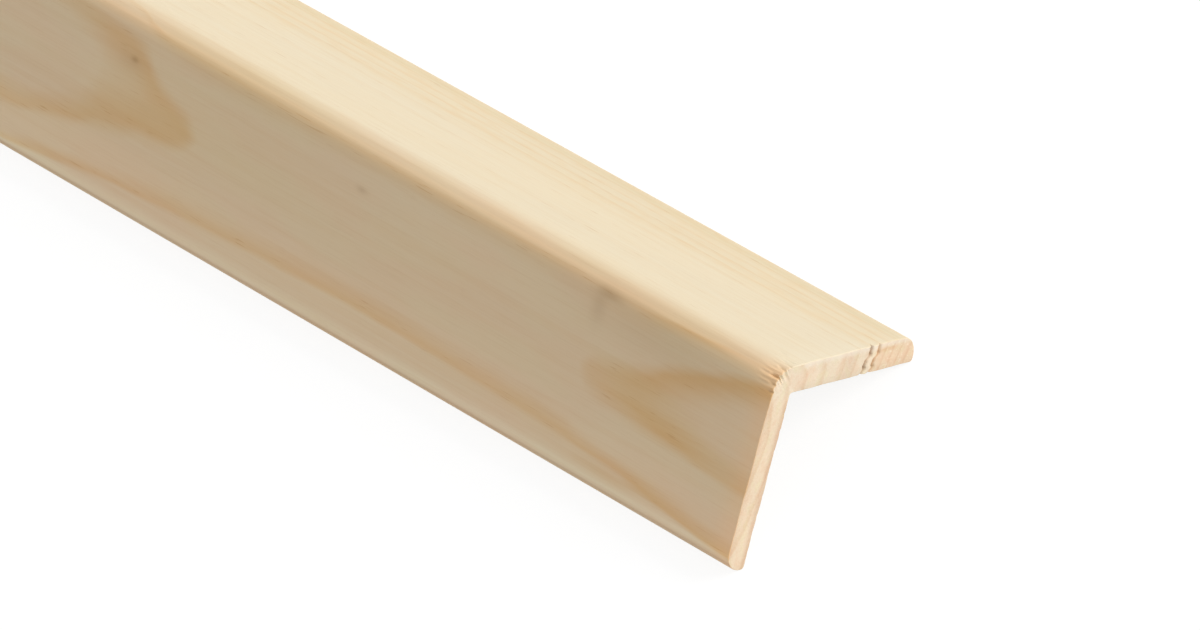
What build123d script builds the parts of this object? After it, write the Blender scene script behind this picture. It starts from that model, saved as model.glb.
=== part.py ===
from build123d import *
import math
import os

# Pine angle moulding: one length of solid softwood planed to an L section.
# It lies as it rests on a floor, with the rounded corner up and both toes down.
# X runs along the length, Z is up, and the origin is on the floor at mid length.
# All sizes are in millimetres and all angles in degrees.

# Driving dimensions
length = 2400.0            # stock length, cut square at both ends
leg_width = 27.0           # each leg, from the outside corner to its toe
wall = 3.7                 # thickness of each leg
corner_radius = 3.0        # outside corner, where the two outer faces meet
root_radius = 0.4          # inside corner, nearly sharp
toe_inner_radius = 0.4     # toe edge on the inner face, nearly sharp
toe_flat = 0.2             # flat left on the toe between its two roundings
leg_slope = 45.0           # each leg falls from the corner at this angle to the floor

# The toe's outer edge is a quarter round that takes the rest of the wall.
toe_outer_radius = wall - toe_inner_radius - toe_flat


def sharp_corners():
    """The corners of the unrounded L: u runs along the right leg, v along the left leg."""
    return {
        "outside": [(0.0, 0.0)],
        "right toe, outer": [(leg_width, 0.0)],
        "right toe, inner": [(leg_width, wall)],
        "root": [(wall, wall)],
        "left toe, inner": [(wall, leg_width)],
        "left toe, outer": [(0.0, leg_width)],
    }


def vertices_at(section, places):
    """The section's vertices that lie on the given (u, v) places."""
    same_place = 0.001
    return [
        corner
        for corner in section.vertices()
        if any(math.dist((corner.X, corner.Y), place) < same_place for place in places)
    ]


def moulding_section():
    """The finished section: the sharp L with every edge of the moulding rounded."""
    corners = sharp_corners()
    roundings = [
        (corners["outside"], corner_radius),
        (corners["root"], root_radius),
        (corners["right toe, outer"] + corners["left toe, outer"], toe_outer_radius),
        (corners["right toe, inner"] + corners["left toe, inner"], toe_inner_radius),
    ]
    outline = [place for places in corners.values() for place in places]
    section = make_face(Polyline(*outline, close=True))
    for places, radius in roundings:
        section = fillet(vertices_at(section, places), radius)
    return section


def angle_moulding():
    """The section run along the whole length, corner up, resting on its two toes."""
    across = math.cos(math.radians(leg_slope))
    down = math.sin(math.radians(leg_slope))
    right_leg = Vector(0, across, -down)
    left_leg = Vector(0, -across, -down)
    far_end = Plane(origin=(-length / 2, 0, 0), x_dir=right_leg, z_dir=right_leg.cross(left_leg))
    bar = extrude(far_end * moulding_section(), amount=length, dir=(1, 0, 0))
    return Pos(0, 0, -bar.bounding_box().min.Z) * bar


os.makedirs("parts", exist_ok=True)
moulding = angle_moulding()
export_step(moulding, "parts/angle_moulding.step")
size = moulding.bounding_box().size
print("angle_moulding", round(size.X, 3), round(size.Y, 3), round(size.Z, 3), round(moulding.volume, 1))
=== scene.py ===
"""Pine angle moulding: one 2.4 m length of planed softwood, seen from the corner of its sawn end."""
import math

import bpy
import numpy as np
from mathutils import Matrix, Vector
from mathutils.geometry import delaunay_2d_cdt


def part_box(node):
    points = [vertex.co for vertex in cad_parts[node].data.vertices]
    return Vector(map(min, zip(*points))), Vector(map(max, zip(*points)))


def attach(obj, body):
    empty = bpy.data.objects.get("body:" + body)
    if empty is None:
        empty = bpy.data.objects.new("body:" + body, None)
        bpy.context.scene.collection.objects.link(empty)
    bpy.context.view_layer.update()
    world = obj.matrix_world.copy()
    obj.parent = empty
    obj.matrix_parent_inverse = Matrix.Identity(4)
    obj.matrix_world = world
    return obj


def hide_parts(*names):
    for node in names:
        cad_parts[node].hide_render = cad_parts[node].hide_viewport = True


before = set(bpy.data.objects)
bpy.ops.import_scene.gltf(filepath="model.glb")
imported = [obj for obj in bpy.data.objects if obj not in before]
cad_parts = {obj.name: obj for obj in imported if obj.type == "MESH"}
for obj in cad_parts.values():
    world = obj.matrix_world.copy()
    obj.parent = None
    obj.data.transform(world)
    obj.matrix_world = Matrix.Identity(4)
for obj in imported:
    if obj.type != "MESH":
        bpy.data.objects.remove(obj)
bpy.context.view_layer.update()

# Sizes of the section, in millimetres, as the part's source has them
LEG = 27.0
WALL = 3.7
CORNER_RADIUS = 3.0
ROOT_RADIUS = 0.4
TOE_INNER_RADIUS = 0.4
TOE_OUTER_RADIUS = 3.1

# Places on the moulding use three distances in millimetres: t back from the sawn end that the
# photograph shows, a across the right leg from the sharp corner, and b down the left leg.
MM = 0.001
SLOPE = math.sqrt(0.5)
LOW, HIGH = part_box("angle_moulding")
LENGTH = (HIGH.x - LOW.x) / MM
CORNER_HEIGHT = (LEG + WALL) * SLOPE - (math.sqrt(2) - 1) * TOE_INNER_RADIUS


def frame_point(t, a, b):
    """The place t, a, b in the frame, in metres."""
    return Vector((
        HIGH.x - t * MM,
        (a - b) * SLOPE * MM,
        (CORNER_HEIGHT - (a + b) * SLOPE) * MM,
    ))


def smooth_step(x):
    """0 below 0, 1 above 1, and smooth between."""
    x = np.clip(x, 0.0, 1.0)
    return x * x * (3.0 - 2.0 * x)


# The section's outline

TOE_STEPS = 10             # spans on each toe's quarter round
CORNER_STEPS = 24          # spans on half of the rounded corner
ROOT_STEPS = 3             # spans on half of the inside corner
INNER_TOE_STEPS = 3        # spans on each toe's inner edge
SKIN = 0.008               # the wood lies this far inside the outline, so it stays in the part's box

# Distance along a flat face, and the spacing of points from there on: fine beside the torn corner
# and where a split crosses the right leg's end
OUTER_FACE = [(CORNER_RADIUS, 0.14), (6.0, 0.45), (16.4, 0.15), (20.0, 0.45), (LEG - TOE_OUTER_RADIUS, None)]
INNER_FACE = [(WALL + ROOT_RADIUS, 0.45), (16.0, 0.15), (19.0, 0.45), (LEG - TOE_INNER_RADIUS, None)]


def arc(centre, radius, start, end, steps):
    """Points on an arc from one angle to another, in degrees, without its last point."""
    angles = np.radians(np.linspace(start, end, steps + 1)[:-1])
    return np.column_stack([centre[0] + radius * np.cos(angles), centre[1] + radius * np.sin(angles)])


def face_run(depth, marks):
    """Points on a flat face from its toe end to just before its corner end."""
    places = []
    for (start, spacing), (end, _) in zip(marks, marks[1:]):
        spans = max(1, round((end - start) / spacing))
        places.extend(np.linspace(start, end, spans + 1)[1:])
    return np.array([(depth, place) for place in reversed(places)])


def outer_half():
    """The outer outline of one leg from its toe to the middle of the rounded corner.
    Points are (depth below the outer face, distance along the leg)."""
    toe_centre = (TOE_OUTER_RADIUS, LEG - TOE_OUTER_RADIUS)
    corner_centre = (CORNER_RADIUS, CORNER_RADIUS)
    return np.vstack([
        arc(toe_centre, TOE_OUTER_RADIUS, 90.0, 180.0, TOE_STEPS),
        face_run(0.0, OUTER_FACE),
        arc(corner_centre, CORNER_RADIUS, 180.0, 225.0, CORNER_STEPS),
        [[CORNER_RADIUS * (1.0 - SLOPE)] * 2],
    ])


def inner_half():
    """The inner outline of one leg from its toe to the middle of the inside corner."""
    toe_centre = (WALL - TOE_INNER_RADIUS, LEG - TOE_INNER_RADIUS)
    root_centre = (WALL + ROOT_RADIUS, WALL + ROOT_RADIUS)
    return np.vstack([
        arc(toe_centre, TOE_INNER_RADIUS, 90.0, 0.0, INNER_TOE_STEPS),
        face_run(WALL, INNER_FACE),
        arc(root_centre, ROOT_RADIUS, 180.0, 225.0, ROOT_STEPS),
        [[WALL + ROOT_RADIUS * (1.0 - SLOPE)] * 2],
    ])


def section_outline():
    """The whole outline as points (a, b), and each point's distance along the outer face from the
    middle of the corner: below zero on the left leg, and far off on the inner faces."""
    outer = outer_half()
    inner = inner_half()
    steps = np.linalg.norm(np.diff(outer, axis=0), axis=1)
    reach = np.concatenate([np.cumsum(steps[::-1])[::-1], [0.0]])
    outline = np.vstack([outer, outer[-2::-1, ::-1], inner[:, ::-1], inner[-2::-1]])
    far_off = np.full(2 * len(inner) - 1, 10.0 * LEG)
    return outline, np.concatenate([-reach, reach[-2::-1], far_off])


def inward_normals(outline):
    """The unit normal of the outline at each point, pointing into the wood."""
    ahead = np.roll(outline, -1, axis=0) - outline
    ahead /= np.linalg.norm(ahead, axis=1)[:, None]
    run = ahead + np.roll(ahead, 1, axis=0)
    run /= np.linalg.norm(run, axis=1)[:, None]
    return np.column_stack([-run[:, 1], run[:, 0]])


def distance_inside(points, outline):
    """How far inside the outline each point lies: below zero outside it."""
    nearest = np.full(len(points), np.inf)
    inside = np.zeros(len(points), bool)
    for start, end in zip(outline, np.roll(outline, -1, axis=0)):
        run = end - start
        share = np.clip((points - start) @ run / (run @ run), 0.0, 1.0)
        nearest = np.minimum(nearest, np.linalg.norm(points - start - share[:, None] * run, axis=1))
        crosses = (start[1] > points[:, 1]) != (end[1] > points[:, 1])
        level = np.where(crosses, points[:, 1] - start[1], 0.0) / (run[1] if run[1] else 1.0)
        inside ^= crosses & (points[:, 0] < start[0] + level * run[0])
    return np.where(inside, nearest, -nearest)


# The sawn ends. In the waves below, a factor of a, b, t or along is in radians for each millimetre.

CUT_EASE = 0.08            # worn edge all round each sawn end
CUT_BACK = 0.07            # mean depth of the sawn surface behind the moulding's full length
BLEND_BACK = 3.0           # the sawn surface's relief has died out this far behind it
TOOTH_DEPTH = 0.008        # marks of the saw's teeth
SWEEP_DEPTH = 0.030        # slow waves across the cut
FIBRE_END_DEPTH = 0.012    # roughness of the cut fibres
FAR_END_SHIFT = 3.0        # moves the saw marks of the far end, so that the two ends differ

# Torn fibres beside the sawn end: distance along the outer face from the corner's middle, start
# and end back from the cut, half width, and depth
SLITS = [
    (-0.25, -0.7, 1.8, 0.34, 0.34),
    (-0.35, 1.3, 3.2, 0.20, 0.06),
    (0.95, -0.5, 1.7, 0.30, 0.22),
    (0.90, 1.3, 3.4, 0.22, 0.06),
    (-1.35, -0.7, 1.4, 0.28, 0.18),
    (-2.40, -0.7, 1.2, 0.30, 0.22),
    (2.00, -0.5, 2.2, 0.30, 0.15),
    (3.00, 0.3, 2.8, 0.28, 0.08),
    (3.80, 2.2, 4.2, 0.30, 0.06),
]
SLIT_SLANT = 0.06          # a slit drifts sideways by at most this much for each millimetre of its length
FRAY_DEPTH = 0.08          # the wood between the slits is worn down this far
FRAY_REACH = 5.5           # and the wear has died out this far along the face
FRAY_MIDDLE = 0.8          # it is centred here, along the face from the corner's middle
FRAY_SHORTENING = 1.4      # its reach back from the cut is this many times shorter

# A split along a growth ring of the right leg: its line from the outer to the inner face
SPLIT_TOP = np.array([18.2, 0.0])
SPLIT_BOTTOM = np.array([17.1, WALL])
SPLIT_WANDER = 0.17        # the split leaves its line by about this much
SPLIT_RAGGEDNESS = 0.05    # and is ragged by this much
SPLIT_MARGIN = 2.0         # nothing of it lies further than this on the corner's side of its lower end
SPLIT_HALF_WIDTH = 0.34
SPLIT_DEPTH = 0.60
SLIVER_OFFSET = 0.75       # a raised sliver lies this far beside the split
SLIVER_HALF_WIDTH = 0.40
SECOND_SPLIT_OFFSET = 1.50
SECOND_SPLIT_DEPTH = 0.34

# Fibres broken off at the rounded corner, and chips along the inner arris of the left leg
CORNER_TEAR_DEPTH = 0.16
CORNER_TEAR_PLACE = 1.0    # both a and b of its middle
CORNER_TEAR_SPREAD = 1.6   # square of its reach, in square millimetres
CHIP_DEPTH = 0.05
CHIP_HALF_WIDTH = 0.35
CHIPS_START = 5.0          # the chips begin this far down the leg
CHIPS_BUILD_UP = 2.0       # and reach their full depth this much further down


def groove(distance, half_width):
    """1 on a line and 0 past half_width from it."""
    return smooth_step(1.0 - np.abs(distance) / half_width)


def saw_marks(a, b):
    """How the saw left the end, as depth behind the full length."""
    teeth = np.sin(a * 4.1 + b * 4.9 + 0.6 * np.sin(a * 1.3))
    sweep = np.sin(a * 0.9 - b * 0.7 + 1.0)
    fibre_ends = np.sin(a * 19.0 + 3.0 * np.sin(b * 5.0)) * np.sin(b * 17.0 + 2.0 * np.sin(a * 7.0))
    return CUT_BACK + TOOTH_DEPTH * teeth + SWEEP_DEPTH * sweep + FIBRE_END_DEPTH * fibre_ends


def beside_split(a, b, sine):
    """Distance of a point of the sawn end past the split's wandering line. The sine is a function
    for the kind of number that a and b are."""
    run = SPLIT_BOTTOM - SPLIT_TOP
    across, down = (float(share) for share in (run[1], -run[0]) / np.linalg.norm(run))
    wander = sine(b * 3.4 + 0.5) * SPLIT_WANDER + sine(b * 7.3 + 1.0) * SPLIT_RAGGEDNESS
    return (a - float(SPLIT_TOP[0])) * across + b * down + wander


def split_depth(a, b):
    """Depth of the split and of the smaller one beside it, and the share of a raised sliver between."""
    near_split = a > SPLIT_BOTTOM[0] - SPLIT_MARGIN
    beside = np.where(near_split, beside_split(a, b, np.sin), LEG)
    depth = SPLIT_DEPTH * groove(beside, SPLIT_HALF_WIDTH)
    depth = depth + SECOND_SPLIT_DEPTH * groove(beside - SECOND_SPLIT_OFFSET, SPLIT_HALF_WIDTH)
    return depth, groove(beside - SLIVER_OFFSET, SLIVER_HALF_WIDTH)


def corner_tear(a, b):
    """Extra depth where the saw broke the fibres at the rounded corner."""
    across_corner = a * 9.0 - b * 8.0
    ragged = 1.0 + np.sin(across_corner + 1.4 * np.sin(across_corner * 0.31 + 1.0))
    ragged = ragged * (0.75 + 0.35 * np.sin(across_corner * 0.43 + a + b))
    from_middle = (a - CORNER_TEAR_PLACE) ** 2 + (b - CORNER_TEAR_PLACE) ** 2
    return CORNER_TEAR_DEPTH * np.exp(-from_middle / CORNER_TEAR_SPREAD) * ragged


def inner_chips(a, b):
    """Extra depth of the chips along the inner arris of the left leg."""
    beside_arris = np.exp(-((a - WALL) / CHIP_HALF_WIDTH) ** 2)
    down_leg = smooth_step((b - CHIPS_START) / CHIPS_BUILD_UP)
    chips = np.maximum(np.sin(b * 2.3) + 0.7 * np.sin(b * 5.1 + 1.0) - 0.3, 0.0)
    return CHIP_DEPTH * beside_arris * down_leg * chips


def front_relief(a, b):
    """Depth of the photographed end behind the full length."""
    depth, sliver = split_depth(a, b)
    relief = (saw_marks(a, b) + corner_tear(a, b) + inner_chips(a, b)) * (1.0 - sliver) + depth
    return np.maximum(relief, 0.0)


def back_relief(a, b):
    """Depth of the other end behind the full length: sawn the same way but undamaged."""
    return np.maximum(saw_marks(b + FAR_END_SHIFT, a), 0.0)


def torn_depth(along, t):
    """Beside the photographed end, the depth of the slits at each point of the outer face, and how
    far the wood between them is worn down."""
    slits = np.zeros(len(along))
    for place, start, end, half_width, depth in SLITS:
        share = (t - start) / (end - start)
        taper = smooth_step(share * 5.0) * smooth_step((1.0 - share) * 2.0)
        slant = SLIT_SLANT * (t - start) * math.sin(7.0 * place)
        slits = np.maximum(slits, depth * taper * groove(along - place - slant, half_width))
    reach = np.hypot(along - FRAY_MIDDLE, FRAY_SHORTENING * t) / FRAY_REACH
    ridges = 0.5 + 0.5 * np.sin(along * 11.0 + 1.3 * math.sin(t * 0.9))
    return slits, FRAY_DEPTH * smooth_step(1.6 * (1.0 - reach)) * ridges


# The whole length

NEAR_STEP = 0.15           # spacing of the sections over the torn wood beside the cut
NEAR_REACH = 5.0
STEP_GROWTH = 1.25         # each spacing past that is this much longer than the last
LONGEST_STEP = 40.0
EASE_SHARES = [0.0, 0.2, 0.55, 1.0]    # sections over each worn edge, as shares of its length
FAR_END_SECTIONS = [2.0, 1.0, 0.5]     # distances of further sections from the far end
FRONT_END_SPACING = 0.14   # spacing of points on the photographed end
FAR_END_SPACING = 0.8
EDGE_CLEARANCE = 0.55      # a point inside an end keeps this share of the spacing from its outline
SAME_PLACE = 1e-7          # points closer than this would be joined
SHARP_ANGLE = 38.0         # in degrees: a sharper edge isn't shaded smooth


def stations():
    """Distances back from the photographed end at which the section is repeated."""
    ease = CUT_EASE * np.array(EASE_SHARES)
    near = np.arange(CUT_EASE + NEAR_STEP, NEAR_REACH, NEAR_STEP)
    grown = [near[-1]]
    step = NEAR_STEP
    while grown[-1] + LONGEST_STEP < LENGTH / 2:
        step = min(step * STEP_GROWTH, LONGEST_STEP)
        grown.append(grown[-1] + step)
    front = np.concatenate([ease, near, grown[1:]])
    back = np.concatenate([grown[::-1], FAR_END_SECTIONS, ease[::-1]])
    return np.concatenate([front, LENGTH - back])


def sections(rows, outline, along):
    """The section at each station, as points t, a, b, and the depth of the slits at every point."""
    inward = inward_normals(outline)
    rings = []
    torn = []
    for t in rows:
        from_end = min(t, LENGTH - t)
        ease = CUT_EASE - math.sqrt(max(CUT_EASE**2 - max(CUT_EASE - from_end, 0.0) ** 2, 0.0))
        slits, worn = torn_depth(along, t)
        ring = outline + inward * (SKIN + ease + slits + worn)[:, None]
        fade = max(0.0, 1.0 - from_end / BLEND_BACK)
        relief = front_relief(*ring.T) if t < LENGTH / 2 else -back_relief(*ring.T)
        rings.append(np.column_stack([t + relief * fade, ring]))
        torn.extend(slits)
    return rings, torn


# Unrolled layout for a baked texture, in millimetres of wood. The stretch beside the cut is laid
# out larger than the rest, and the sawn end larger still, because the camera is nearest to them.
CLOSE_STRETCH = 230.0
CLOSE_SCALE = 2.0
END_SCALE = 4.0
STRIP_COUNT = 4            # the rest of the length lies in this many strips, one above the other
STRIP_MARGIN = 0.02        # each strip starts this share of its length in from the edge
LAYOUT_GAP = 4.0


class Layout:
    """Gives each corner of the moulding's mesh its place on the square of the baked texture."""

    def __init__(self, girth):
        self.close_height = girth * CLOSE_SCALE + LAYOUT_GAP
        self.strip_length = (LENGTH - CLOSE_STRETCH) / STRIP_COUNT
        self.strip_height = girth + LAYOUT_GAP
        self.end_start = CLOSE_STRETCH * CLOSE_SCALE + LONGEST_STEP
        self.far_end_start = WALL * END_SCALE + LAYOUT_GAP
        height = self.close_height + STRIP_COUNT * self.strip_height
        width = max(self.end_start + LEG * END_SCALE, self.strip_length + LONGEST_STEP)
        self.size = max(height, width)

    def tube(self, t, around, t_middle):
        """A corner of a face on the length, whose middle lies t_middle back from the cut."""
        if t_middle < CLOSE_STRETCH:
            return t * CLOSE_SCALE / self.size, around * CLOSE_SCALE / self.size
        strip = min(int((t_middle - CLOSE_STRETCH) / self.strip_length), STRIP_COUNT - 1)
        u = t - CLOSE_STRETCH - (strip - STRIP_MARGIN) * self.strip_length
        v = self.close_height + strip * self.strip_height + around
        return u / self.size, v / self.size

    def end(self, a, b, front):
        """A point of a sawn end. The far end fits inside the angle of the front one."""
        if front:
            return (self.end_start + a * END_SCALE) / self.size, b * END_SCALE / self.size
        start = self.far_end_start
        return (self.end_start + start + a) / self.size, (start + b) / self.size


def tube_faces(rows, around, layout):
    """The faces between the sections, and the layout's place for each corner of each face."""
    count = len(around) - 1
    faces = []
    layout_places = []
    for row, (near, far) in enumerate(zip(rows, rows[1:])):
        low = row * count
        middle = (near + far) / 2.0
        for i in range(count):
            j = (i + 1) % count
            faces.append((low + i, low + j, low + count + j, low + count + i))
            for t, edge in ((near, i), (near, i + 1), (far, i + 1), (far, i)):
                layout_places.append(layout.tube(t, around[edge], middle))
    return faces, layout_places


def end_grid(outline, spacing):
    """A triangle mesh inside the outline: its points, the outline's first, and its triangles."""
    lows = outline.min(0)
    highs = outline.max(0)
    across, down = np.meshgrid(
        np.arange(lows[0] + spacing / 2, highs[0], spacing),
        np.arange(lows[1] + spacing / 2, highs[1], spacing),
    )
    inside = np.column_stack([across.ravel(), down.ravel()])
    inside = inside[distance_inside(inside, outline) > EDGE_CLEARANCE * spacing]
    count = len(outline)
    points = [Vector(p) for p in np.vstack([outline, inside])]
    edges = [(i, (i + 1) % count) for i in range(count)]
    found, _, faces, sources, _, _ = delaunay_2d_cdt(points, edges, [], 1, SAME_PLACE)
    assert len(found) == len(points) and all(list(s) == [i] for i, s in enumerate(sources))
    return np.array([[p.x, p.y] for p in found]), faces


def sawn_end(ring, spacing, front, first, start, layout):
    """One end across its ring of points, which are numbered from first: its further points, which
    are numbered from start, its faces, and the layout's place for each corner of each face."""
    count = len(ring)
    points, triangles = end_grid(ring[:, 1:], spacing)
    backs = front_relief(*points.T) if front else LENGTH - back_relief(*points.T)
    vertices = [frame_point(t, a, b) for t, (a, b) in zip(backs[count:], points[count:])]
    faces = []
    layout_places = []
    for triangle in triangles:
        corners = triangle[::-1] if front else triangle
        faces.append(tuple(first + i if i < count else start + i - count for i in corners))
        layout_places += [layout.end(*points[i], front) for i in corners]
    return vertices, faces, layout_places


def build_moulding():
    """The moulding as one closed mesh: the section repeated along the length, and two sawn ends."""
    outline, along = section_outline()
    rows = stations()
    spans = np.linalg.norm(np.roll(outline, -1, axis=0) - outline, axis=1)
    around = np.concatenate([[0.0], np.cumsum(spans)])
    layout = Layout(around[-1])
    rings, torn = sections(rows, outline, along)
    vertices = [frame_point(*p) for ring in rings for p in ring]
    faces, layout_places = tube_faces(rows, around, layout)
    tube_count = len(faces)
    last = len(vertices) - len(outline)
    ends = ((rings[0], FRONT_END_SPACING, True, 0), (rings[-1], FAR_END_SPACING, False, last))
    for ring, spacing, front, first in ends:
        more, end_faces, end_places = sawn_end(ring, spacing, front, first, len(vertices), layout)
        vertices += more
        torn += [0.0] * len(more)
        faces += end_faces
        layout_places += end_places
    mesh = bpy.data.meshes.new("pine_angle_moulding")
    mesh.from_pydata(vertices, [], faces)
    sawn = (np.arange(len(faces)) >= tube_count).astype(np.float32)
    mesh.attributes.new("sawn", "FLOAT", "FACE").data.foreach_set("value", sawn)
    mesh.attributes.new("torn", "FLOAT", "POINT").data.foreach_set("value", torn)
    mesh.uv_layers.new(name="OFBake").uv.foreach_set("vector", np.array(layout_places).ravel())
    mesh.shade_smooth()
    mesh.set_sharp_from_angle(angle=math.radians(SHARP_ANGLE))
    return mesh


def add_object(name, data):
    """An object that shows a mesh, light or camera."""
    piece = bpy.data.objects.new(name, data)
    bpy.context.scene.collection.objects.link(piece)
    return piece


moulding = add_object("pine_angle_moulding", build_moulding())
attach(moulding, "root")
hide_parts("angle_moulding")


# Shader fields

class Field:
    """A number that varies over a surface. Arithmetic on it adds Math nodes to its material."""

    def __init__(self, socket):
        self.socket = socket

    def __add__(self, other):
        return math_field("ADD", self, other)

    def __radd__(self, other):
        return math_field("ADD", other, self)

    def __sub__(self, other):
        return math_field("SUBTRACT", self, other)

    def __rsub__(self, other):
        return math_field("SUBTRACT", other, self)

    def __mul__(self, other):
        return math_field("MULTIPLY", self, other)

    def __rmul__(self, other):
        return math_field("MULTIPLY", other, self)

    def __truediv__(self, other):
        return math_field("DIVIDE", self, other)

    def __pow__(self, other):
        return math_field("POWER", self, other)


def feed(slot, value):
    """Link a field to a node's input, or set the input to a plain value."""
    if isinstance(value, Field):
        slot.id_data.links.new(value.socket, slot)
    else:
        slot.default_value = value


def new_node(tree, kind, **settings):
    """A new shader node with its settings."""
    node = tree.nodes.new(kind)
    for name, value in settings.items():
        setattr(node, name, value)
    return node


def tree_of(*values):
    """The node tree that the fields among some values belong to."""
    return next(v.socket.id_data for v in values if isinstance(v, Field))


def math_field(operation, *values):
    """A Math node's result."""
    node = new_node(tree_of(*values), "ShaderNodeMath", operation=operation)
    for slot, value in zip(node.inputs, values):
        feed(slot, value)
    return Field(node.outputs[0])


def between(value, low, high):
    """0 below low, 1 above high, and smooth between."""
    node = new_node(tree_of(value), "ShaderNodeMapRange", interpolation_type="SMOOTHSTEP")
    for name, given in (("Value", value), ("From Min", low), ("From Max", high)):
        feed(node.inputs[name], given)
    return Field(node.outputs["Result"])


def bell(value, middle, half_width):
    """1 at middle, falling to 0 on both sides over about twice half_width."""
    distance = (value - middle) / half_width
    return math_field("EXPONENT", distance * distance * -1.0)


def noise(t, a, b, detail=2.0, roughness=0.5):
    """Smooth random variation from 0 to 1 with features about one unit across."""
    tree = tree_of(t, a, b)
    place = new_node(tree, "ShaderNodeCombineXYZ")
    for slot, value in zip(place.inputs, (t, a, b)):
        feed(slot, value)
    node = new_node(tree, "ShaderNodeTexNoise")
    tree.links.new(place.outputs[0], node.inputs["Vector"])
    node.inputs["Scale"].default_value = 1.0
    node.inputs["Detail"].default_value = detail
    node.inputs["Roughness"].default_value = roughness
    return Field(node.outputs["Fac"])


def curve(value, points):
    """A smooth curve through given points (value, result)."""
    values, results = zip(*points)
    low, high = min(values), max(values)
    floor, ceiling = min(results), max(results)
    node = new_node(tree_of(value), "ShaderNodeFloatCurve")
    line = node.mapping.curves[0]
    while len(line.points) < len(points):
        line.points.new(0.5, 0.5)
    for knot, (place, result) in zip(line.points, points):
        knot.location = ((place - low) / (high - low), (result - floor) / (ceiling - floor))
    node.mapping.update()
    feed(node.inputs["Value"], (value - low) / (high - low))
    return Field(node.outputs[0]) * (ceiling - floor) + floor


def blend(amount, first, second):
    """first where amount is 0 and second where it is 1."""
    return first + (second - first) * amount


def attribute(tree, name):
    """A number stored on the mesh."""
    return Field(new_node(tree, "ShaderNodeAttribute", attribute_name=name).outputs["Fac"])


def colour_mix(kind, amount, colour, other):
    """A Mix node's colour. Each colour is a socket or a plain colour."""
    tree = tree_of(amount)
    node = new_node(tree, "ShaderNodeMix", data_type="RGBA", blend_type=kind)
    feed(node.inputs["Factor"], amount)
    slots = [slot for slot in node.inputs if slot.type == "RGBA"]
    for slot, given in zip(slots, (colour, other)):
        if isinstance(given, tuple):
            slot.default_value = (*given, 1.0)
        else:
            tree.links.new(given, slot)
    return next(slot for slot in node.outputs if slot.type == "RGBA")


def tint(colour, amount, factor):
    """Multiply a colour by a factor for each channel, where amount is 1."""
    return colour_mix("MULTIPLY", amount, colour, factor)


def toned(colour, tones):
    """A colour after a list of tints, each given as its amount and its factors."""
    for amount, factor in tones:
        colour = tint(colour, amount, factor)
    return colour


def paint(colour, amount, other):
    """Cover a colour with another where amount is 1."""
    return colour_mix("MIX", amount, colour, other)


# The pine's rings

# The figure of the left face, by distance back from the cut. A flame is where a ring's contour
# crosses the middle line: its half width there, and below zero how far short of the line it stays.
FLAME_HALF_WIDTH = [
    (0, 6.8), (5, 6.3), (10, 5.3), (15, 4.5), (20, 3.3), (24, 2.8), (26, 2.2), (27.5, 0.9),
    (30, -1.4), (45, -4.0), (60, -5.0), (75, -4.0), (88, -2.0), (91, -0.6), (93, 1.2), (95, 2.5),
    (98, 3.4), (101, 4.6), (103, 5.9), (106, 7.0), (112, 7.8), (118, 8.4), (124, 9.3), (136, 10.4),
    (150, 10.8),
]
FLAME_MIDDLE = [
    (0, 9.6), (5, 10.0), (10, 10.5), (15, 11.2), (20, 12.1), (25, 12.3), (50, 11.5), (80, 11.5),
    (94, 11.7), (98, 11.5), (101, 10.7), (104, 9.7), (107, 9.5), (112, 9.9), (118, 10.3), (124, 10.9),
    (150, 11.0),
]
# The latewood of a flame is wide at its tip, where the face runs along the ring
FLAME_RING_WIDTH = [
    (0, 9.0), (5, 11.0), (10, 13.0), (15, 16.0), (20, 19.0), (30, 19.0), (60, 12.0), (90, 17.0),
    (98, 18.0), (102, 21.0), (106, 21.0), (110, 16.0), (115, 11.0), (120, 9.5), (150, 11.0),
]
# The next ring out crosses the face in one line below the flames and one above them
LINE_BELOW = [
    (0, 24.9), (5, 24.0), (10, 23.1), (20, 21.8), (30, 21.1), (50, 20.6), (60, 20.4), (75, 20.8),
    (90, 21.5), (100, 21.9), (110, 22.8), (120, 24.1), (134, 25.5), (150, 26.0),
]
LINE_ABOVE = [(0, 1.4), (12, 1.5), (30, 1.6), (60, 1.6), (90, 1.7), (110, 1.0), (150, 0.5)]
FIGURE_END = (120.0, 150.0)    # past this the figure goes on in the same manner, unseen in the photograph
FIGURE_CHANGE = 150.0          # there its lines wander over about this length
SIDE_BLEND = 3.0               # the two lines' distances from the flames blend over this beside the middle
LEAST_RING_WIDTH = 2.0
WIDEST_LINE_RING = 8.0         # beside the two lines a ring is counted over no more than this
PLAIN_WOOD_COUNT = 0.2         # share of a ring between the flames and the lines
PLAIN_WOOD_START = (-0.3, 1.5) # it is reached over this distance past a flame's edge
TIP_ROUNDING = 1.2             # the tips of the flames are rounded by about this much
FIGURE_WOBBLE = 1.3            # the figure's outlines wander over about half of this
WOBBLE_LENGTH = 14.0           # along the wood, and
WOBBLE_WIDTH = 1.6             # across it
FIGURE_DEPTH = 8.0             # the figure fades over this depth behind the left face

# Growth rings across the right leg, counted where they meet its outer face
RING_PLACES = [
    (0, 0.0), (4.8, 1.0), (9.3, 2.0), (13.4, 3.0), (15.9, 4.0), (18.1, 5.0), (19.8, 6.0),
    (21.4, 7.0), (23.0, 8.0), (24.6, 9.0), (27, 10.4),
]
RING_LEAN = 0.28           # the rings lean this much across the right leg's thickness
LEAN_START = (2.0, 8.0)    # and begin to lean over this distance from the corner
COUNT_SHIFT = 20.0         # whole rings added, so that the count is above zero everywhere

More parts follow.
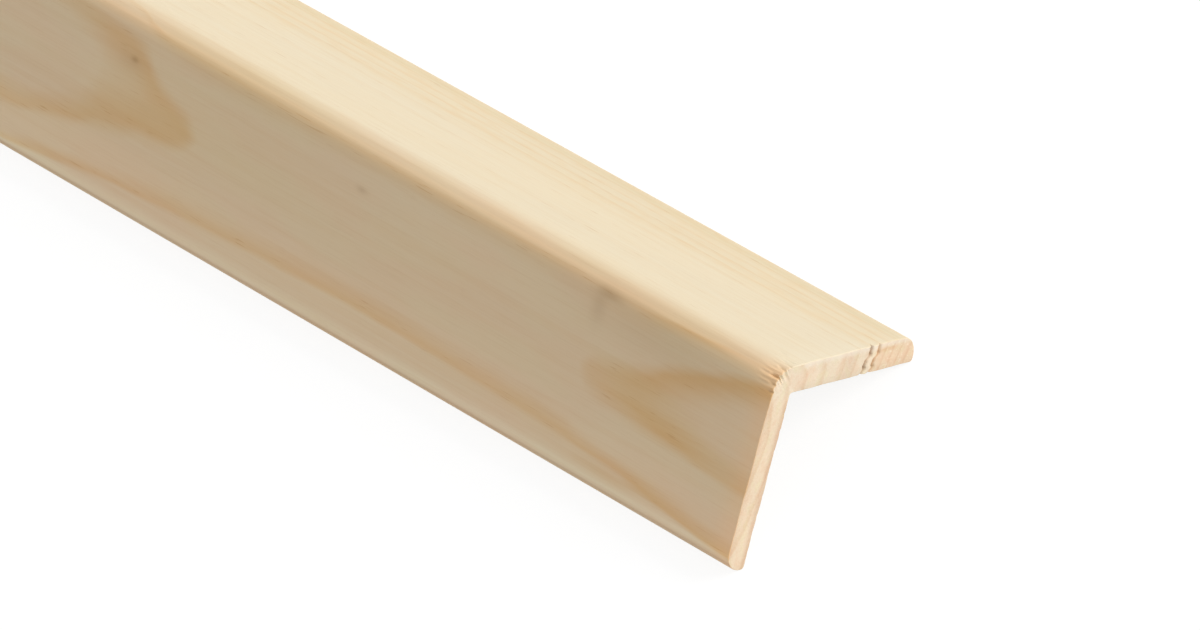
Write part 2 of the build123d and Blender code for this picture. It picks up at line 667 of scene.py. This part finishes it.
# In each ring the dark latewood builds up over the first range and ends over the second
LATEWOOD_START = (0.50, 0.90)
LATEWOOD_END = (0.86, 1.0)
LATEWOOD_CONTRAST = 1.2


def wood_places(tree):
    """The places t, a and b of the point being shaded, in millimetres."""
    place = new_node(tree, "ShaderNodeTexCoord").outputs["Object"]
    split = new_node(tree, "ShaderNodeSeparateXYZ")
    tree.links.new(place, split.inputs[0])
    x, y, z = [Field(socket) for socket in split.outputs]
    down = CORNER_HEIGHT - z / MM
    across = y / MM
    return (HIGH.x - x) / MM, (down + across) * SLOPE, (down - across) * SLOPE


def along_length(t, points, mean, swing, seed):
    """A figure line: through the given points beside the cut, then wandering about a mean."""
    wander = noise(t / FIGURE_CHANGE, seed, 0.5, detail=1.0) * (2.0 * swing) + (mean - swing)
    return blend(between(t, *FIGURE_END), curve(t, points), wander)


def figure_rings(t, b):
    """The ring count on the left face, from the line outside the flames."""
    half_width = along_length(t, FLAME_HALF_WIDTH, mean=1.0, swing=20.0, seed=3.0)
    middle = along_length(t, FLAME_MIDDLE, mean=11.0, swing=9.0, seed=17.0)
    below = along_length(t, LINE_BELOW, mean=22.0, swing=8.0, seed=31.0)
    above = along_length(t, LINE_ABOVE, mean=1.5, swing=5.0, seed=47.0)
    ring_width = along_length(t, FLAME_RING_WIDTH, mean=12.0, swing=12.0, seed=59.0)
    from_middle = b - middle
    away = math_field("SQRT", from_middle * from_middle + TIP_ROUNDING**2) - TIP_ROUNDING
    line = blend(between(from_middle, -SIDE_BLEND, SIDE_BLEND), middle - above, below - middle)
    outer_width = math_field("MAXIMUM", line - half_width, LEAST_RING_WIDTH)
    wobble = (noise(t / WOBBLE_LENGTH, b / WOBBLE_WIDTH, 7.0, detail=3.0) - 0.5) * FIGURE_WOBBLE
    past_flame = away + wobble - half_width
    counted_over = math_field("MINIMUM", outer_width, WIDEST_LINE_RING)
    plain_wood = between(past_flame, *PLAIN_WOOD_START) * PLAIN_WOOD_COUNT
    outside = math_field("MAXIMUM", 1.0 - (outer_width - past_flame) / counted_over, plain_wood)
    inside = math_field("MINIMUM", past_flame, 0.0) / ring_width
    return outside + inside - 1.0


def growth_rings(t, a, b):
    """The ring count at each point of the wood."""
    depth = math_field("EXPONENT", a / -FIGURE_DEPTH)
    lean = b * RING_LEAN * between(a, *LEAN_START)
    return curve(a + lean, RING_PLACES) + figure_rings(t, b) * depth


def latewood(t, a, b):
    """How far each point lies in the dark part of its ring, from 0 to 1."""
    share = math_field("FRACT", growth_rings(t, a, b) + COUNT_SHIFT)
    build_up = between(share, *LATEWOOD_START) ** LATEWOOD_CONTRAST
    return build_up * (1.0 - between(share, *LATEWOOD_END))


# The pine's tones. A tone is an amount, worked out from places in millimetres, and a factor for each
# colour channel.

EARLYWOOD = (0.880, 0.754, 0.538)
LATEWOOD_TINT = (0.925, 0.775, 0.555)
MARK_TINT = (0.52, 0.42, 0.29)
# darkening of the slits beside the cut: partly the torn fibres' colour, partly painted shade in the slits
TORN_FIBRE_AND_SHADE_TINT = (0.74, 0.72, 0.66)
END_GRAIN = (0.90, 0.755, 0.565)
ORANGE_END_GRAIN = (0.895, 0.688, 0.478)
TOP_EDGE_COLOUR = (0.93, 0.83, 0.69)
PLANED_ROUGHNESS = 0.62
LATEWOOD_POLISH = 0.10     # latewood is this much less rough
SAWN_ROUGHNESS = 0.12      # and a sawn end this much rougher
SPECULAR_LEVEL = 0.35

# Heights of the bump, in millimetres
FIBRE_HEIGHT = 0.020
LATEWOOD_HEIGHT = 0.012
END_SPECK_HEIGHT = 0.05

# Dark marks on the left face: distance back from the cut, distance down the face, half length,
# half width and strength
MARKS = [
    (26.0, 2.2, 2.0, 0.65, 0.42),
    (27.2, 4.2, 1.1, 2.2, 0.20),
    (65.6, 6.4, 0.9, 0.45, 0.28),
    (104.6, 6.2, 0.6, 0.40, 0.45),
    (105.0, 6.6, 2.4, 1.4, 0.16),
]


class Wood:
    """The fields that the tones are worked out from."""

    def __init__(self, tree):
        t, a, b = wood_places(tree)
        self.t = t
        self.a = a
        self.b = b
        self.sawn = attribute(tree, "sawn")
        self.torn = attribute(tree, "torn")
        self.from_corner = a - b
        self.left_leg = 1.0 - between(a, 0.8, 3.6)
        self.late = latewood(t, a, b)
        self.fibres = noise(t / 9.0, a / 0.22, b / 0.22, detail=2.0, roughness=0.6)
        self.end_specks = noise(t, a / 0.28, b / 0.28, detail=2.0, roughness=0.7)


def latewood_strength(wood):
    """How dark the latewood shows: strongest in the figure of the left face beside the cut."""
    t, a, b = wood.t, wood.a, wood.b
    past_cut = between(t, 3.0, 12.0)
    line_above = blend(past_cut, (1.0 - between(b, 1.5, 2.5)) * 0.85, (1.0 - between(b, 2.2, 4.2)) * 0.50)
    lower_arm = bell(b, 16.0, 1.8) * (1.0 - between(t, 5.0, 13.0)) * 0.35
    flame_tip = bell(t, 26.0, 4.5) * (1.0 - between(b, 15.0, 18.0)) * 0.24
    figure = 0.94 - between(t, 12.0, 26.0) * 0.20 - between(b, 16.0, 19.0) * 0.14
    figure = figure - line_above - lower_arm - flame_tip
    return wood.left_leg * figure + between(a, 14.0, 18.0) * 0.24 + 0.07


def grain_tones(wood):
    """Tones that the wood has all along its planed faces."""
    t, a, b = wood.t, wood.a, wood.b
    left_leg = wood.left_leg
    drift = noise(t / 38.0, a / 9.0, b / 9.0, detail=2.0)
    patches = noise(t / 16.0, a / 7.0 + 9.0, b / 5.0, detail=1.0)
    streaks = noise(t / 85.0, a / 1.1, b / 1.1, detail=3.0)
    canals = between(noise(t / 3.5, a / 0.16, b / 0.16, detail=0.0), 0.70, 0.80)
    mottle = noise(t / 3.5, a / 1.1, b / 1.1 + 5.0, detail=2.0)
    return [
        # The left face is cut along the rings and looks warmer, as does the right toe a little; on the left
        # face this warmer, darker tint is partly painted shade of that unlit side
        (left_leg, (0.960, 0.876, 0.794)),
        (between(a, 14.0, 19.0), (0.985, 0.970, 0.945)),
        # Slow changes of colour, patches of the left leg, and streaks along the length
        (between(drift, 0.35, 0.65), (0.99, 1.0, 1.02)),
        (between(patches, 0.40, 0.62) * left_leg * 0.6, (1.01, 0.965, 0.975)),
        (between(streaks, 0.40, 0.68) * (left_leg * 0.15 + 0.25), (0.96, 0.91, 0.84)),
        # Latewood, fibres, resin canals and a fine mottle
        (wood.late * latewood_strength(wood), LATEWOOD_TINT),
        (between(wood.fibres, 0.45, 0.75) * 0.30, (0.90, 0.84, 0.76)),
        (canals * (wood.late * 0.5 + 0.10), (0.80, 0.68, 0.54)),
        (between(mottle, 0.42, 0.68) * (between(a, 15.0, 18.0) * 0.7 + 0.2), (1.0, 0.965, 0.92)),
    ]


def place_tones(wood):
    """Tones at certain places on the planed faces."""
    t, a, b = wood.t, wood.a, wood.b
    left_leg = wood.left_leg
    right_leg = 1.0 - left_leg
    tones = [
        # An orange band round the corner, with two pale lines of painted highlight on it
        (bell(wood.from_corner, -1.1, 1.2), (0.99, 0.925, 0.835)),
        (bell(wood.from_corner, -0.55, 0.50), (1.09, 1.09, 1.11)),
        (bell(wood.from_corner, 1.2, 0.50), (1.03, 1.04, 1.05)),
        # Paler wood down the left face, and on the rounding above its toe a painted highlight line and a
        # painted shade line
        (between(b, 14.0, 23.0) * left_leg, (1.075, 1.055, 1.06)),
        (bell(b, 24.9, 0.75) * left_leg, (1.09, 1.17, 1.22)),
        (bell(b, 25.9, 0.35) * left_leg, (0.84, 0.79, 0.75)),
        # A second line under the near flame, a darker patch above it, and yellower wood by the far one
        (bell(t, 20.5, 6.0) * bell(b, 23.4, 0.8) * left_leg, (0.965, 0.915, 0.83)),
        (bell(t, 17.0, 13.0) * bell(b, 4.4, 3.4) * left_leg, (0.91, 0.90, 0.87)),
        (bell(t, 88.0, 16.0) * (1.0 - between(b, 11.0, 15.0)) * left_leg, (0.985, 0.985, 0.955)),
        # A darker line along the right toe
        (bell(a, 23.4, 0.8) * right_leg, (0.96, 0.95, 0.90)),
        # Beside the cut the left leg is more orange and the right one paler
        (bell(t, 0.0, 2.6) * left_leg, (1.10, 1.0, 0.93)),
        (bell(t, 0.0, 2.6) * right_leg, (1.02, 1.035, 1.06)),
    ]
    for mark_t, mark_b, half_length, half_width, strength in MARKS:
        spot = bell(t, mark_t, half_length) * bell(b, mark_b, half_width) * bell(a, 0.0, 1.0)
        tones.append((spot * strength, MARK_TINT))
    return tones


def end_grain_tones(wood):
    """Tones of the sawn ends."""
    t, a, b = wood.t, wood.a, wood.b
    patches = noise(t + 4.0, a / 1.3, b / 1.8, detail=2.0)
    flecks = noise(t + 9.0, a / 0.55, b / 0.42, detail=1.0)
    above_orange_part = bell(b, 0.95, 0.28) * between(a, 19.4, 20.2) * (1.0 - between(a, 22.4, 23.6))
    return [
        # Rings, specks and patches
        (wood.late * 0.45, (0.86, 0.72, 0.60)),
        (between(wood.end_specks, 0.42, 0.70) * 0.4, (0.93, 0.84, 0.76)),
        (between(patches, 0.50, 0.64), (0.99, 0.945, 0.925)),
        (1.0 - between(patches, 0.36, 0.48), (0.985, 1.01, 0.965)),
        # Pale flecks in the orange part near the right toe, and a darker line along its top
        (between(flecks, 0.58, 0.68) * between(a, 19.6, 21.0), (1.07, 1.16, 1.26)),
        (above_orange_part, (0.95, 0.86, 0.78)),
        # The left leg's end, and a darkening along the inner edge of each leg
        (between(b, 3.0, 6.0), (1.01, 0.975, 0.945)),
        (between(a, 2.4, 3.4) * between(b, 4.2, 6.0), (0.88, 0.815, 0.79)),
        (between(b, 2.4, 3.4) * between(a, 4.2, 6.0), (0.94, 0.94, 0.94)),
        # Two stains on the right leg's end, and the left leg's outer edge
        (bell(a, 14.2, 1.3) * bell(b, 1.9, 2.0), (0.91, 0.86, 0.84)),
        (bell(a, 5.8, 2.2) * bell(b, 2.1, 1.0), (1.0, 0.95, 0.94)),
        (bell(a, 0.0, 0.7) * between(b, 4.0, 6.0), (0.93, 0.87, 0.84)),
    ]


def split_tones(wood):
    """Tones of the sliver and of the two splits, on the photographed end alone: a painted highlight on the
    sliver, and painted shade in the splits, partly their own darker wood.
    """
    beside = beside_split(wood.a, wood.b, lambda value: math_field("SINE", value))
    damaged = 1.0 - between(wood.t, 5.0, 10.0)
    return [
        # painted highlight on the raised sliver
        (bell(beside, SLIVER_OFFSET, 0.32) * damaged, (1.06, 1.08, 1.10)),
        # painted shade in the splits, partly their darker wood
        (bell(beside, 0.0, 0.20) * damaged, (0.52, 0.38, 0.28)),
        (bell(beside, SECOND_SPLIT_OFFSET, 0.24) * damaged, (0.76, 0.64, 0.52)),
    ]


def end_grain_colour(wood):
    """The colour of the sawn ends."""
    colour = paint(END_GRAIN, between(wood.a, 17.5, 20.0), ORANGE_END_GRAIN)
    colour = toned(colour, end_grain_tones(wood))
    top_edge = (1.0 - between(wood.b, 0.3, 1.0)) * between(wood.a, 4.0, 6.0) * 0.5
    colour = paint(colour, top_edge, TOP_EDGE_COLOUR)
    return toned(colour, split_tones(wood))


def pine():
    """Planed pine: growth rings, fibres, resin marks and sawn end grain."""
    material = bpy.data.materials.new("pine")
    material.use_nodes = True
    tree = material.node_tree
    shader = tree.nodes["Principled BSDF"]
    wood = Wood(tree)
    # painted highlight on the ridges between the slits beside the cut, partly pale fibres
    ridge_highlight = bell(wood.from_corner, 0.45, 0.30) * bell(wood.t, 0.0, 2.0)
    colour = toned(EARLYWOOD, grain_tones(wood) + place_tones(wood))
    colour = paint(colour, wood.sawn, end_grain_colour(wood))
    # painted shade in the slits, deeper where they are deeper, partly the torn fibres' own colour
    colour = tint(colour, between(wood.torn, 0.01, 0.30), TORN_FIBRE_AND_SHADE_TINT)
    # the painted highlight on those ridges
    colour = tint(colour, ridge_highlight, (1.05, 1.07, 1.10))
    tree.links.new(colour, shader.inputs["Base Color"])

    roughness = PLANED_ROUGHNESS - wood.late * LATEWOOD_POLISH + wood.sawn * SAWN_ROUGHNESS
    feed(shader.inputs["Roughness"], roughness)
    shader.inputs["Specular IOR Level"].default_value = SPECULAR_LEVEL
    end_height = (wood.end_specks - 0.5) * END_SPECK_HEIGHT * wood.sawn
    height = (wood.fibres - 0.5) * FIBRE_HEIGHT + wood.late * LATEWOOD_HEIGHT + end_height
    bump = new_node(tree, "ShaderNodeBump")
    bump.inputs["Distance"].default_value = MM
    feed(bump.inputs["Height"], height)
    tree.links.new(bump.outputs["Normal"], shader.inputs["Normal"])
    return material


moulding.data.materials.append(pine())

# The floor

FLOOR_HALF = 8.0           # half the side of its square, in metres
LIT_FLOOR = 0.80           # grey of the floor where it lights the moulding
SHOWN_FLOOR = 0.20         # where it is seen, its grey is this, on top of a glow that makes it white
SHOWN_GLOW = 0.87


def seen(tree):
    """1 where a ray comes straight from the camera or shows a reflection or what is behind glass."""
    path = new_node(tree, "ShaderNodeLightPath")
    rays = [Field(path.outputs[name]) for name in ("Is Camera Ray", "Is Glossy Ray", "Is Transmission Ray")]
    return math_field("MAXIMUM", math_field("MAXIMUM", rays[0], rays[1]), rays[2])


def matte(tree, grey):
    """A matte shader of one grey."""
    node = new_node(tree, "ShaderNodeBsdfDiffuse")
    node.inputs["Color"].default_value = (grey, grey, grey, 1.0)
    return node


def floor_material():
    """A pale floor that looks white where it is lit and still shows the moulding's soft shadow."""
    material = bpy.data.materials.new("floor")
    material.use_nodes = True
    tree = material.node_tree
    tree.nodes.clear()
    glow = new_node(tree, "ShaderNodeEmission")
    glow.inputs["Strength"].default_value = SHOWN_GLOW
    shown = new_node(tree, "ShaderNodeAddShader")
    tree.links.new(matte(tree, SHOWN_FLOOR).outputs[0], shown.inputs[0])
    tree.links.new(glow.outputs[0], shown.inputs[1])
    mixed = new_node(tree, "ShaderNodeMixShader")
    feed(mixed.inputs[0], seen(tree))
    tree.links.new(matte(tree, LIT_FLOOR).outputs[0], mixed.inputs[1])
    tree.links.new(shown.outputs[0], mixed.inputs[2])
    output = new_node(tree, "ShaderNodeOutputMaterial")
    tree.links.new(mixed.outputs[0], output.inputs["Surface"])
    return material


def floor_square():
    """A flat square far larger than the moulding."""
    mesh = bpy.data.meshes.new("floor")
    corners = [(-1, -1), (1, -1), (1, 1), (-1, 1)]
    mesh.from_pydata([(x * FLOOR_HALF, y * FLOOR_HALF, 0.0) for x, y in corners], [], [range(4)])
    mesh.materials.append(floor_material())
    return mesh


floor = add_object("floor", floor_square())

# The camera, whose place and direction come from the moulding's straight edges in the photograph

SENSOR_WIDTH = 36.0        # in millimetres, as is the lens
LENS = 249.95
CAMERA_SIGHT = 100.0       # in metres
PHOTO_RIGHT = Vector((0.73542, 0.61409, -0.28644))
PHOTO_UP = Vector((-0.41681, 0.74325, 0.52330))
CAMERA_FROM_CORNER = Vector((0.50122, -0.26601, 0.78942))

camera_data = bpy.data.cameras.new("camera")
camera_data.sensor_width = SENSOR_WIDTH
camera_data.lens = LENS
camera_data.clip_end = CAMERA_SIGHT
camera = add_object("camera", camera_data)
turn = Matrix((PHOTO_RIGHT, PHOTO_UP, PHOTO_RIGHT.cross(PHOTO_UP))).transposed().to_4x4()
camera.matrix_world = Matrix.Translation(frame_point(0.0, 0.0, 0.0) + CAMERA_FROM_CORNER) @ turn
bpy.context.scene.camera = camera

# The light: one soft key and an even fill

KEY_DIRECTION = Vector((0.665, 0.600, 0.445))
KEY_STRENGTH = 1.89
KEY_SPREAD = 30.0          # in degrees
FILL = 0.54

key_data = bpy.data.lights.new("key", "SUN")
key_data.energy = KEY_STRENGTH
key_data.angle = math.radians(KEY_SPREAD)
key = add_object("key", key_data)
key.rotation_euler = KEY_DIRECTION.to_track_quat("Z", "Y").to_euler()

world = bpy.data.worlds.new("world")
bpy.context.scene.world = world
world.use_nodes = True
background = world.node_tree.nodes["Background"]
feed(background.inputs["Strength"], blend(seen(world.node_tree), FILL, 1.0))
background.inputs["Color"].default_value = (1.0, 1.0, 1.0, 1.0)

bpy.context.scene.view_settings.view_transform = "Standard"
